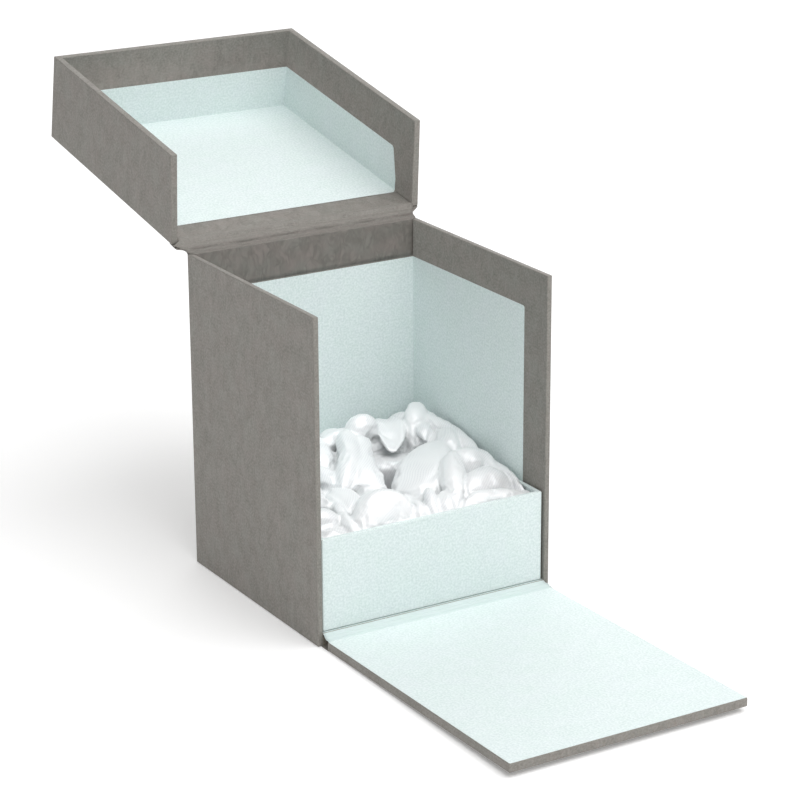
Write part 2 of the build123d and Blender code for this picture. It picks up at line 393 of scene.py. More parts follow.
def ribbon(path, left, right, thickness, columns=24, ruffle=None):
    """A strip of paper across the box. path holds (y, z) points, left and right the x of its edges there."""
    bm = bmesh.new()
    count = len(path)
    rows = []
    for number, point in enumerate(path):
        after, before = path[min(number + 1, count - 1)], path[max(number - 1, 0)]
        step = (Vector(after) - Vector(before)).normalized()
        normal = Vector((-step.y, step.x))
        row = []
        for column in range(columns + 1):
            share = column / columns
            x = left[number] + (right[number] - left[number]) * share
            lift = ruffle(x, number / (count - 1)) if ruffle else 0.0
            spot = Vector(point) + normal * lift
            far = spot + normal * thickness
            row.append([bm.verts.new((x, spot.x, spot.y)), bm.verts.new((x, far.x, far.y))])
        rows.append(row)
    for number in range(count - 1):
        for column in range(columns):
            a, b = rows[number][column], rows[number][column + 1]
            c, d = rows[number + 1][column + 1], rows[number + 1][column]
            bm.faces.new((a[0], b[0], c[0], d[0]))
            bm.faces.new((a[1], d[1], c[1], b[1]))
        for column, flip in ((0, False), (columns, True)):
            a, d = rows[number][column], rows[number + 1][column]
            quad = (a[0], d[0], d[1], a[1])
            bm.faces.new(quad[::-1] if flip else quad)
    for number, flip in ((0, True), (count - 1, False)):
        for column in range(columns):
            a, b = rows[number][column], rows[number][column + 1]
            quad = (a[0], b[0], b[1], a[1])
            bm.faces.new(quad[::-1] if flip else quad)
    bmesh.ops.recalc_face_normals(bm, faces=bm.faces)
    return bm


# ----------------------------------------------------------------------------------------------------
# Body: three walls in grey paper, pale linings, floor
# ----------------------------------------------------------------------------------------------------
HALF_W, HALF_D, HEIGHT = 50.0, 48.25, 124.5
IN_X, IN_BACK = 47.9, 46.15
FLOOR = 5.1
WALLS_LOW, BASE_THICK = 0.06, 0.3
EMBED, PROUD = 0.05, 0.12  # how far a glued lining is sunk in its wall, and how far it stands proud of it
COVER_EDGE, LINING_EDGE = 0.4, 0.06  # how round the edges of covered board and of a lining are
HINGE_PAPER, INSIDE_PAPER = 0.15, 0.13
GROUND = Plane((0, 0, 0), (1, 0, 0), (0, 1, 0))


def glue_lining(name, plane, outline, depth, body, grain, node):
    """A pale paper on a wall. depth is how far it reaches below and above the plane."""
    lining = prism(plane, outline, *depth)
    finish_piece(name, soften(lining, LINING_EDGE, 1), "mint_paper", body, grain, [node])


def facing_in(side):
    """The depth of a lining on the inside of a side wall. side is -1 for the left and 1 for the right."""
    return (-EMBED, PROUD) if side < 0 else (-PROUD, EMBED)


walls = prism(
    GROUND,
    [(-HALF_W, -HALF_D), (-IN_X, -HALF_D), (-IN_X, IN_BACK), (IN_X, IN_BACK),
     (IN_X, -HALF_D), (HALF_W, -HALF_D), (HALF_W, HALF_D), (-HALF_W, HALF_D)],
    WALLS_LOW,
    HEIGHT,
)
finish_piece("body_walls", soften(walls, 0.38), "grey_paper", "box_body", nodes=["body_cover_paper"])
outline = rectangle((-HALF_W + 1.6, -HALF_D + 0.3), (HALF_W - 1.6, HALF_D - 1.6))
base = prism(GROUND, outline, 0.0, BASE_THICK)
finish_piece("base_paper", soften(base, 0.08, 1), "grey_paper", "box_body", (0, 1, 0), ["base_cover_paper"])

LINING_TOP, LINING_FRONT = 109.35, -33.25
BACK_WALL = Plane((0, IN_BACK, 0), (1, 0, 0), (0, 0, 1))
outline = rectangle((-IN_X + 0.1, FLOOR), (IN_X - 0.1, LINING_TOP))
glue_lining("back_lining", BACK_WALL, outline, (-EMBED, PROUD), "box_body", (0, 0, 1), "back_wall_lining")
for side, name in ((-1, "left"), (1, "right")):
    wall = Plane((side * IN_X, 0, 0), (0, 1, 0), (0, 0, 1))
    corners = rectangle((LINING_FRONT, FLOOR), (IN_BACK - 0.02, LINING_TOP))
    outline = rounded(corners, (0, 0, 0, 0.9))
    node = f"{name}_wall_lining"
    glue_lining(f"{name}_lining", wall, outline, facing_in(side), "box_body", (0, 0, 1), node)
outline = rectangle((-IN_X + 0.05, -HALF_D + 12), (IN_X - 0.05, IN_BACK - 0.05))
floor = prism(GROUND, outline, FLOOR - 0.15, FLOOR)
finish_piece("floor_paper", soften(floor, 0.05, 1), "mint_paper", "box_body", (1, 0, 0), ["floor_lining"])

# ----------------------------------------------------------------------------------------------------
# Front door
# ----------------------------------------------------------------------------------------------------
DOOR_HALF, DOOR_LENGTH, DOOR_THICK = 48.65, 119.7, 3.3
DOOR_Y = -52.65
TILT = radians(0.9)
DOOR = Plane((0, DOOR_Y, 0), (1, 0, 0), (0, cos(TILT), -sin(TILT)))
door = prism(DOOR, rectangle((-DOOR_HALF, -DOOR_LENGTH), (DOOR_HALF, 0)), 0, DOOR_THICK)
door = soften(door, COVER_EDGE)
finish_piece("door_panel", door, "grey_paper", "front_door", (0, 1, 0), ["door_cover_paper"])
corners = rectangle((-DOOR_HALF + 0.3, -DOOR_LENGTH + 0.3), (DOOR_HALF - 0.3, -0.1))
outline = rounded(corners, (0.5, 0.5, 0.4, 0.4))
depth = (DOOR_THICK - 0.1, DOOR_THICK + PROUD)
glue_lining("door_pale_paper", DOOR, outline, depth, "front_door", (1, 0.35, 0), "door_lining")

# Outer hinge paper, under the gap
path = eased([
    (DOOR_Y - 0.6, 0.02), (DOOR_Y + 1.2, 0.01),
    (-HALF_D - 2.2, 0.01), (-HALF_D - 1.0, 0.01), (-HALF_D + 0.4, 0.05),
])
bm = ribbon(path, [-DOOR_HALF] * len(path), [DOOR_HALF] * len(path), HINGE_PAPER)
piece = finish_piece("door_hinge_grey_paper", bm, "grey_paper", None, (0, 1, 0), ["door_hinge_outer_paper"],
                     weighted=False)
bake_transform(piece)


def fold_waves(x, share):
    """Slight waves in the inner hinge paper, where it lies over the fold and on the door."""
    part = min(1, max(0, (share - 0.6) / 0.4))
    return (0.05 * sin(x * 0.9 + 4 * share) + 0.04 * sin(x * 2.3 + 1)) * max(0.0, sin(pi * part))


# Inner hinge paper: from the floor over its front edge, with two soft ridges, down onto the door.
# The knots are (y, z, half width).
knots = [
    (-36.4, 4.98, 47.85), (-40.0, 4.98, 47.85), (-44.0, 4.98, 47.85), (-47.2, 4.98, 47.85),
    (-48.2, 4.86, 47.85), (-49.0, 4.45, 47.95), (-49.7, 4.12, 48.3), (-50.2, 4.14, 48.5),
    (-50.8, 3.78, 48.6), (-51.5, 3.55, 48.6),
    (-52.1, 3.66, 48.6), (-52.8, 3.42, 48.55), (-53.8, 3.35, 48.5),
]
samples = eased(knots, 4)
path = [(p.x, p.y) for p in samples]
edge = [p.z for p in samples]
left = [-x + 0.5 * max(0.0, x - IN_X) for x in edge]
bm = ribbon(path, left, edge, HINGE_PAPER, 60, fold_waves)
piece = finish_piece("door_hinge_pale_paper", bm, "mint_paper", None, (1, 0, 0), ["door_hinge_inner_paper"],
                     weighted=False)
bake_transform(piece)

# ----------------------------------------------------------------------------------------------------
# Lid
# ----------------------------------------------------------------------------------------------------
LID_HALF, LID_LENGTH, LID_HEIGHT = 54.2, 113.7, 34.7
LID_WALL, LID_PANEL = 2.7, 1.3
LID_IN, LID_FRONT_IN = LID_HALF - LID_WALL, LID_LENGTH - LID_WALL
FLAP, SLANT = 4.55, 4.4  # the flap's width, and how far the lid's side walls lean back over their height
FOLD_Y, FOLD_Z = 48.3, 126.6
RISE = radians(10.6)
LID_U, LID_V = Vector((0, cos(RISE), sin(RISE))), Vector((0, -sin(RISE), cos(RISE)))


def lid_at(x, u, v):
    """A point of the open lid: u runs from the fold to its front wall, v from its panel to its rim."""
    return Vector((x, FOLD_Y, FOLD_Z)) + LID_U * u + LID_V * v


def slanted(u, v):
    """The u of the side walls' back edge at a height v."""
    return u + SLANT * v / LID_HEIGHT


corners = {}
for side, mark in ((-1, "L"), (1, "R")):
    out, inn = side * LID_HALF, side * LID_IN
    corners.update(
        {
            "a" + mark: lid_at(out, FLAP, 0),
            "b" + mark: lid_at(out, LID_LENGTH, 0),
            "c" + mark: lid_at(out, LID_LENGTH, LID_HEIGHT),
            "d" + mark: lid_at(out, slanted(FLAP, LID_HEIGHT), LID_HEIGHT),
            "e" + mark: lid_at(inn, slanted(FLAP, LID_PANEL), LID_PANEL),
            "f" + mark: lid_at(inn, LID_FRONT_IN, LID_PANEL),
            "g" + mark: lid_at(inn, LID_FRONT_IN, LID_HEIGHT),
            "h" + mark: lid_at(inn, slanted(FLAP, LID_HEIGHT), LID_HEIGHT),
        }
    )
lid = hollow_box(
    corners,
    [
        ("aL", "bL", "bR", "aR"), ("aL", "dL", "cL", "bL"), ("aR", "bR", "cR", "dR"),
        ("bL", "cL", "cR", "bR"), ("dL", "hL", "gL", "cL"), ("dR", "cR", "gR", "hR"),
        ("cL", "gL", "gR", "cR"), ("eL", "fL", "gL", "hL"), ("eR", "hR", "gR", "fR"),
        ("fL", "fR", "gR", "gL"), ("eL", "eR", "fR", "fL"),
        ("aL", "aR", "dR", "hR", "eR", "eL", "hL", "dL"),
    ],
)
finish_piece("lid_shell", soften(lid, COVER_EDGE), "grey_paper", "lid", tuple(LID_V), ["lid_cover_paper"])

LID_FLOOR = Plane(lid_at(0, 0, LID_PANEL), (1, 0, 0), LID_U)
corners = [
    (-LID_IN + 0.05, LID_FRONT_IN - 0.05), (-LID_IN + 0.05, 16.0), (41.6, 16.9), (44.6, 13.6),
    (LID_IN - 1.0, 17.2), (LID_IN - 0.05, 18.4), (LID_IN - 0.05, LID_FRONT_IN - 0.05),
]
outline = rounded(corners, (0, 0.3, 0.6, 0.5, 1.2, 0.5, 0))
glue_lining("lid_floor_paper", LID_FLOOR, outline, (-EMBED, PROUD), "lid", (1, 0.2, 0), "lid_floor_lining")
LINING_V = 18.7
outline = rectangle((-LID_IN + 0.05, LID_PANEL), (LID_IN - 0.05, LINING_V))
front = Plane(lid_at(0, LID_FRONT_IN, 0), (1, 0, 0), LID_V)
glue_lining("lid_front_paper", front, outline, (-EMBED, PROUD), "lid", tuple(LID_V), "lid_front_lining")
for side, name in ((-1, "left"), (1, "right")):
    wall = Plane(lid_at(side * LID_IN, 0, 0), LID_U, LID_V)
    corners = [
        (18.3, LID_PANEL), (LID_FRONT_IN, LID_PANEL), (LID_FRONT_IN, LINING_V),
        (22.4, LINING_V), (18.6, 6.0),
    ]
    outline = rounded(corners, (0, 0, 0, 1.6, 0))
    node = f"lid_{name}_lining"
    glue_lining(f"lid_{name}_paper", wall, outline, facing_in(side), "lid", tuple(LID_V), node)


# Lid hinge: an outer paper up the back wall and round the fold, an inner paper with a pressed groove
def crumple(x, share):
    """Small uneven lifts where the paper has been folded."""
    lift = 0.07 * sin(x * 0.35 + 1.0) * sin(pi * share)
    return lift + 0.04 * sin(x * 1.3 + 5 * share) * sin(pi * share)


def across_fold(knots, steps=4):
    """Splits knots of (y, z, left x, right x) into a path and its two edges."""
    lists = [eased([(knot[0], knot[1], knot[part]) for knot in knots], steps) for part in (2, 3)]
    return [(p.x, p.y) for p in lists[0]], [p.z for p in lists[0]], [p.z for p in lists[1]]


def lid_knot(u, v, left, right):
    """A knot of (y, z, left x, right x) given by its place on the lid."""
    spot = lid_at(0, u, v)
    return (spot.y, spot.z, left, right)


outer = [
    (48.27, 118.0, -49.6, 49.6), (48.27, 123.0, -49.7, 49.7), (48.27, 124.6, -49.9, 49.7),
    (48.3, 125.8, -51.2, 49.2), (48.6, 126.5, -53.6, 49.3),
    lid_knot(1.2, -0.03, -54.15, 50.4), lid_knot(2.8, -0.05, -54.2, 52.2),
    lid_knot(4.6, -0.05, -54.15, 54.0), lid_knot(6.5, -0.04, -54.0, 54.0),
]
path, left, right = across_fold(outer)
bm = ribbon(path[::-1], left[::-1], right[::-1], HINGE_PAPER, 60, crumple)
piece = finish_piece("lid_hinge_back_paper", bm, "grey_paper", None, (0, 0, 1), ["lid_hinge_outer_paper"],
                     weighted=False)
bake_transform(piece)
inner = [
    (46.05, 110.0, -47.6, 47.6), (46.05, 117.0, -47.7, 47.7), (46.05, 123.6, -47.8, 47.8),
    (46.25, 124.55, -48.6, 48.6), (47.2, 124.7, -49.7, 49.6), (48.1, 125.3, -50.4, 49.5),
    (48.75, 126.35, -51.9, 49.0), lid_knot(1.4, 0.25, -53.6, 49.4),
    lid_knot(2.5, 0.12, -54.05, 50.2), lid_knot(3.3, 0.2, -54.0, 51.0), lid_knot(4.3, 1.0, -51.6, 51.35),
    lid_knot(5.0, 1.42, -51.45, 51.45), lid_knot(6.2, 1.36, -51.45, 51.45), lid_knot(11, 1.34, -51.45, 51.45),
    lid_knot(16.5, 1.34, -51.45, 51.45),
]
path, left, right = across_fold(inner)
bm = ribbon(path, left, right, INSIDE_PAPER, 80, crumple)
# Paler paper over the fold and on the lid's hinge flap: partly wear, partly a painted sheen.
wear_and_sheen = bm.verts.layers.float.new("wear_and_sheen")
for vert in bm.verts:
    vert[wear_and_sheen] = 0.75 * min(1.0, max(0.0, (vert.co.y - 48.0) / 2.0))
piece = finish_piece("lid_hinge_inside_paper", bm, "grey_paper", None, (0, 0.3, 1), ["lid_hinge_inner_paper"],
                     weighted=False)
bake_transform(piece)

# ----------------------------------------------------------------------------------------------------
# Tray
# ----------------------------------------------------------------------------------------------------
TRAY_X, TRAY_FRONT, TRAY_BACK = 47.3, -47.25, 45.6
TRAY_TOP, TRAY_WALL = 40.6, 1.9
TRAY_FLOOR = 6.85
corners = {}
sides = (("L", -TRAY_X, -TRAY_X + TRAY_WALL), ("R", TRAY_X, TRAY_X - TRAY_WALL))
ends = (("f", TRAY_FRONT, TRAY_FRONT + TRAY_WALL), ("b", TRAY_BACK, TRAY_BACK - TRAY_WALL))
for mark, x, inner_x in sides:
    for end, y, inner_y in ends:
        corners[mark + end + "0"] = (x, y, FLOOR + 0.02)
        corners[mark + end + "1"] = (x, y, TRAY_TOP)
        corners[mark + end + "2"] = (inner_x, inner_y, TRAY_TOP)
        corners[mark + end + "3"] = (inner_x, inner_y, TRAY_FLOOR)
round_the_tray = (("Lf", "Rf"), ("Rf", "Rb"), ("Rb", "Lb"), ("Lb", "Lf"))
faces = [("Lf0", "Lb0", "Rb0", "Rf0"), ("Lf3", "Rf3", "Rb3", "Lb3")]
for a, b in round_the_tray:
    for low in range(3):
        faces.append((a + str(low), b + str(low), b + str(low + 1), a + str(low + 1)))
tray = soften(hollow_box(corners, faces), 0.5, 3)
finish_piece("tray_shell", tray, "mint_paper", "tray", (0, 0, 1), ["tray_cover_paper"])

# ----------------------------------------------------------------------------------------------------
# Padding: gathered satin round a well
# ----------------------------------------------------------------------------------------------------

class Puff:
    """A closed puff of cloth along a path of (x, y, z, radius). It can be thin across the way it faces, like
    a flap, and cupped on that side, like a petal."""

    def __init__(self, *points, face=None, thin=1.0, cup=0.0, gather=1.0):
        self.path = eased([p[:3] for p in points], 5)
        self.radii = [v.x for v in eased([(p[3], 0, 0) for p in points], 5)]
        self.thin, self.cup, self.gather = thin, cup, gather
        self.frames = []
        count = len(self.path)
        for number in range(count):
            along = (self.path[min(number + 1, count - 1)] - self.path[max(number - 1, 0)]).normalized()
            sideways = along.cross(Vector(face or (0, 0, 1)))
            sideways = sideways.normalized() if sideways.length > 0.05 else Vector((1, 0, 0))
            self.frames.append((along, sideways, sideways.cross(along).normalized()))

    def add(self, bm, around=36, pleats=7, depth=0.1, twist=0.0):
        rings = []
        for number, spot in enumerate(self.path):
            along, sideways, over = self.frames[number]
            share = number / (len(self.path) - 1)
            ring = []
            for step in range(around):
                angle = 2 * pi * step / around
                pleat = abs(sin(pleats * angle / 2 + twist * share * pi)) ** 0.7
                radius = self.radii[number] * (1 - depth * pleat)
                rise = self.thin * sin(angle) - self.cup * max(0.0, sin(angle)) ** 2
                ring.append(bm.verts.new(spot + sideways * (radius * cos(angle)) + over * (radius * rise)))
            rings.append(ring)
        for a, b in zip(rings, rings[1:]):
            for step in range(around):
                after = (step + 1) % around
                bm.faces.new((a[step], a[after], b[after], b[step]))
        bm.faces.new(rings[0][::-1])
        bm.faces.new(rings[-1])


# The puffs of the gathered ring, by where they lie. They are seen over the tray's front wall.
PUFFS = {
    # along the tray's front
    "corner_puff": Puff((-45, -43, 37, 1.5), (-40, -41.5, 38, 3.2), (-34, -42.5, 37, 1.5)),
    "left_strip": Puff(
        (-32, -46, 38, 1.6), (-30.5, -38, 40.2, 2.0), (-28, -24, 41.5, 2.2), (-26, -10, 42, 1.5),
        gather=0.3,
    ),
    "left_weave": Puff(
        (-25, -40, 34, 4), (-23, -28, 36, 7), (-21, -14, 36.5, 8), (-21, 0, 35, 7),
        gather=0.3,
    ),
    "front_left": Puff(
        (-28, -44, 36, 3), (-23.5, -39, 39.5, 6.3), (-17, -36, 41.8, 8.2), (-10.5, -37, 41, 7.0),
        (-6, -41, 38, 2.8),
        gather=0.8,
    ),
    "front_small_1": Puff((-4, -44, 37, 1.5), (-3, -41, 39.5, 3.4), (-1, -35, 39.5, 3.4), (1, -28, 37, 2)),
    "front_small_2": Puff(
        (3, -44.5, 37, 1.2), (3, -41, 40.5, 2.2), (6, -34, 43, 2.4), (10, -27, 42, 1.2),
        gather=0.4,
    ),
    "front_small_3": Puff(
        (8, -44, 37, 1.5), (8.5, -41.5, 39.5, 3.4), (13, -35, 41, 3.6), (18, -30, 40, 2.5),
    ),
    "front_slope": Puff(
        (2, -30, 36, 3), (10, -26, 39, 4.5), (20, -22, 42, 5), (28, -14, 43, 3),
        face=(-0.5, -0.5, 0.7), thin=0.6, gather=0.4,
    ),
    # the big open puff at the right
    "right_bed": Puff((17, -38, 36, 4), (26, -32, 39, 7), (36, -29, 39, 7), (43, -32, 36, 3), gather=0.2),
    "right_left_rim": Puff(
        (12, -44, 37, 1.6), (14.5, -37, 41.5, 3.8), (20, -28, 44.5, 4.6), (27, -18, 46.5, 4.6),
        (35, -12, 46, 2.5),
        gather=0.7,
    ),
    "right_top": Puff(
        (24, -20, 43, 4), (32, -17, 45, 6), (39, -18, 43.5, 5.6), (44, -25, 40, 2.5),
        gather=0.8,
    ),
    "right_edge": Puff(
        (38, -14, 44, 3), (43, -21, 43, 2.6), (44.5, -30, 41.5, 1.8), (44, -38, 39.5, 1.2),
        gather=0.3,
    ),
    "right_lip": Puff(
        (12, -43.5, 37.5, 1.5), (22, -42, 39.8, 3.6), (33, -41.5, 39.2, 3.2), (44, -40.5, 38, 1.6),
        gather=0.6,
    ),
    # the smooth flap beside the well, and the folds behind it
    "right_flap": Puff(
        (38, 7, 45, 3), (29, 0, 44.5, 8.5), (18, -9, 42, 10.5), (9, -18, 39, 9), (3, -27, 36, 3),
        face=(-0.62, -0.3, 0.72), thin=0.5, cup=0.12, gather=0.12,
    ),
    "right_pointed": Puff(
        (44, 16, 44, 2.5), (40, 9, 46, 4.6), (36, 0, 45, 4.4), (30.5, -9, 44, 0.8),
        gather=0.6,
    ),
    "right_ridge": Puff(
        (37, 31, 50, 2.5), (41.5, 22, 49, 2.8), (43.2, 12, 47.5, 3), (42.5, 0, 45.5, 3.4), (42, -10, 43, 3),
        gather=0.4,
    ),
    "right_fill": Puff((42, 30, 40, 4), (39, 18, 42, 5.5), (38, 4, 41, 6), (38, -8, 40, 6), gather=0.3),
    # the back
    "peak": Puff(
        (33.5, 18, 40, 5), (35, 22, 45.5, 5.2), (37.5, 27, 50, 5.2), (40, 32, 52.5, 3),
        face=(-0.45, -0.87, 0.15), thin=0.75, gather=0.3,
    ),
    "peak_drip": Puff(
        (38, 24, 49, 3.4), (34.5, 17, 47.5, 3), (32, 12, 45.2, 0.8),
        face=(-0.45, -0.8, 0.4), thin=0.6, gather=0.4,
    ),
    "peak_side": Puff((34, 30, 45, 4), (40, 27, 47, 5), (43, 20, 45, 4), gather=0.3),
    "back_leaf": Puff(
        (29, 37, 48, 3), (26.5, 30, 48.5, 5.6), (23, 22, 46.5, 5.6), (18.5, 14, 44, 1.8),
        face=(-0.2, -0.55, 0.8), thin=0.75, cup=0.85, gather=0.3,
    ),
    "back_bed": Puff((12, 26, 41, 4), (24, 27, 40.5, 6), (34, 26, 41, 6), gather=0.3),
    "back_knob": Puff(
        (6, 25, 48, 2.5), (10, 26, 50.5, 4.6), (14, 26, 50.5, 4.6), (17, 25, 47, 2.5),
        gather=0.5,
    ),
    "back_left": Puff((-8, 26, 42, 6), (2, 28, 43, 7), (12, 31, 42, 7), (22, 34, 41, 5)),
    "back_gather_1": Puff((-41, 42, 38, 3), (-37, 35, 43.5, 6), (-30, 26, 45, 7), (-23, 18, 42, 4)),
    "back_gather_2": Puff((-26, 43, 38, 3), (-24, 37, 43, 5.6), (-19, 28, 44.5, 6.2), (-13, 21, 42, 4)),
    "back_gather_3": Puff((-11, 43.5, 38, 3), (-9.5, 38.5, 42.5, 5), (-7, 31, 44, 5.6), (-4, 24, 43, 4)),
    "back_gather_4": Puff((4, 43.5, 38, 3), (5, 39, 42, 4.8), (8, 33, 43, 5), (12, 28, 42, 4)),
    "back_gather_5": Puff((18, 43.5, 38, 3), (19, 39.5, 41.5, 4.6), (22, 35, 43, 5), (25, 31, 43, 4)),
    "back_gather_6": Puff((33, 43, 38, 3), (34, 39, 42, 4.6), (36, 35, 44.5, 5), (38, 31, 46, 4)),
    "back_corner": Puff((46, 41, 37, 3), (43, 37, 41.5, 5), (41, 31, 44, 5.5), (40, 25, 44, 4)),
    # the bell-shaped flap at the left of the well
    "left_flap": Puff(
        (9, 25, 46, 4.5), (4, 16, 46.5, 6.5), (-2, 5, 45, 8), (-7.5, -5, 42.5, 10.2), (-10, -12, 39, 10.5),
        face=(-0.25, -0.5, 0.83), thin=0.55, gather=0.5,
    ),
    "left_flap_ridge": Puff(
        (6, 26, 48, 2.5), (0, 18, 49.5, 3.8), (-6, 5, 48.5, 4), (-13, -5, 45.5, 4), (-18.5, -12, 41.5, 2.6),
        gather=0.7,
    ),
    "left_inner": Puff(
        (-10, -22, 34, 3.5), (-8, -16, 37, 6), (-4, -7, 38, 6.8), (-0.5, 4, 39.5, 7), (4, 14, 40, 5),
        gather=0.5,
    ),
    # the far left, behind the box's front
    "left_ball": Puff((-8, 25, 44, 3), (-11, 18, 45, 5.5), (-15, 10, 43.5, 5.5), (-18, 3, 41, 3)),
    "left_outer": Puff(
        (-30, 18, 39, 4), (-22, 9, 41, 7), (-18, -4, 40, 6.5), (-20, -16, 38, 4),
        gather=0.5,
    ),
    "left_fill": Puff((-17, 8, 39, 5), (-13, 17, 41.5, 6.5), (-6, 27, 42.5, 6), gather=0.4),
    "left_gather_1": Puff((-44.5, 27, 38, 3), (-40, 22, 43.5, 6), (-32, 16, 45, 6.6), (-25, 12, 42, 4)),
    "left_gather_2": Puff((-45, 12, 38, 3), (-41, 8, 43.5, 5.8), (-34, 4, 45.5, 6.4), (-26, 1, 42.5, 4)),
    "left_gather_3": Puff((-45, -3, 38, 3), (-41, -6, 43, 5.6), (-35, -8, 44.5, 6), (-28, -10, 42, 4)),
    "left_gather_4": Puff((-45, -17, 38, 3), (-41.5, -19, 42, 5), (-36, -20, 43, 5.2), (-30, -21, 41, 3)),
    "left_gather_5": Puff(
        (-45, -31, 37, 2.5), (-41.5, -31, 40.5, 4.4), (-36.5, -31, 41, 4), (-32, -32, 39, 2.5),
    ),
}
WELL_CENTRE, WELL_ALONG = Vector((6.0, -6.0)), Vector((0.42, 0.91))
WELL_HALF_LENGTH, WELL_HALF_WIDTH, WELL_FLOOR = 17.0, 6.5, 22.0
PAD_LOW, PAD_HIGH = (-45.2, -45.1, 20.0), (45.2, 43.5, 39.6)
TUCKED = 38.0  # below this height the satin is tucked down in the tray, and stays as drawn
RIM = 40.8  # above this height it may swell over the tray's walls, by OVER_RIM
OVER_RIM = 1.2
INSIDE_X, INSIDE_Y = (-45.3, 45.3), (-45.2, 43.55)  # the room between the tray's walls
VOXEL = 0.95
SCALE = 10.0  # cloth is simulated at ten times its size
SWELL = 0.9  # how far the cloth may move from where it was drawn
GATHER_DEPTH, FOLD_DEPTH, CREASE_DEPTH = 0.55, 0.6, 0.5


def less(bm, cutter):
    """The mesh of one bmesh with another cut away from it."""
    objects = []
    for source in (bm, cutter):
        data = bpy.data.meshes.new("scratch")
        source.to_mesh(data)
        source.free()
        objects.append(placed("scratch", data))
    cut = objects[0].modifiers.new("Cut", "BOOLEAN")
    cut.operation, cut.object, cut.solver = "DIFFERENCE", objects[1], "EXACT"
    made = evaluated(objects[0])
    for scratch in objects:
        bpy.data.objects.remove(scratch)
    return made


def union_of_puffs():
    """One closed mesh, in millimetres: a low pad that fills the tray, with the puffs gathered on it."""
    bm = bmesh.new()
    pad = prism(GROUND, rounded(rectangle(PAD_LOW, PAD_HIGH), (3, 3, 3, 3), 4), PAD_LOW[2], PAD_HIGH[2])
    across = Vector((WELL_ALONG.y, -WELL_ALONG.x))
    well = []
    for step in range(32):
        turn = 2 * pi * step / 32
        reach, width = WELL_HALF_LENGTH * cos(turn), WELL_HALF_WIDTH * sin(turn)
        well.append(tuple(WELL_CENTRE + WELL_ALONG * reach + across * width))
    bm.from_mesh(less(pad, prism(GROUND, well, WELL_FLOOR, PAD_HIGH[2] + 5)))
    for number, puff in enumerate(PUFFS.values()):
        puff.add(bm, depth=0.1 * puff.gather, twist=0.7 + 0.3 * (number % 3))
    bmesh.ops.triangulate(bm, faces=[face for face in bm.faces if len(face.verts) > 4])
    return bm


def remeshed(bm, voxel, name):
    """One even skin round everything in a bmesh."""
    data = bpy.data.meshes.new(name)
    bm.to_mesh(data)
    bm.free()
    rough = placed(name, data)
    remesh = rough.modifiers.new("Voxels", "REMESH")
    remesh.mode, remesh.voxel_size = "VOXEL", voxel
    relax = rough.modifiers.new("Relax", "SMOOTH")
    relax.factor, relax.iterations = 0.5, 1
    made = evaluated(rough)
    bpy.data.objects.remove(rough)
    bpy.data.meshes.remove(data)
    return made


def hollows(data):
    """How hollow each vertex of a mesh is: the height of its neighbours' middle over it, along its normal."""
    bm = bmesh.new()
    bm.from_mesh(data)
    bm.normal_update()
    found = []
    for vert in bm.verts:
        ring = [edge.other_vert(vert).co for edge in vert.link_edges]
        middle = sum(ring, Vector()) / max(1, len(ring))
        found.append((middle - vert.co).dot(vert.normal))
    bm.free()
    return found


def simulate(piece, seams, frames=24, pressure=0.6, growth=-0.07, cap=3.0):
    """Blows the puffs up between their seams with Blender's cloth. No point moves further than the cap."""
    before = [vert.co.copy() for vert in piece.data.vertices]
    group = piece.vertex_groups.new(name="pin")
    for number, weight in enumerate(seams):
        if weight > 0:
            group.add([number], weight, "REPLACE")
    cloth = piece.modifiers.new("Cloth", "CLOTH")
    settings = cloth.settings
    settings.quality = 6
    settings.mass = 0.3
    settings.tension_stiffness = settings.compression_stiffness = 12
    settings.shear_stiffness = 4
    settings.bending_stiffness = 0.02
    settings.use_pressure = True
    settings.uniform_pressure_force = pressure
    settings.shrink_min = growth
    settings.vertex_group_mass = "pin"
    settings.effector_weights.gravity = 0
    cloth.collision_settings.use_collision = False
    cloth.collision_settings.use_self_collision = False
    cloth.point_cache.frame_start, cloth.point_cache.frame_end = 1, frames
    for step in range(1, frames + 1):
        scene.frame_set(step)
    made = evaluated(piece)
    piece.modifiers.remove(cloth)
    piece.vertex_groups.clear()
    for vert, was in zip(made.vertices, before):
        moved = vert.co - was
        if moved.length > cap:
            vert.co = was + moved.normalized() * cap
    scene.frame_set(1)
    piece.data = made


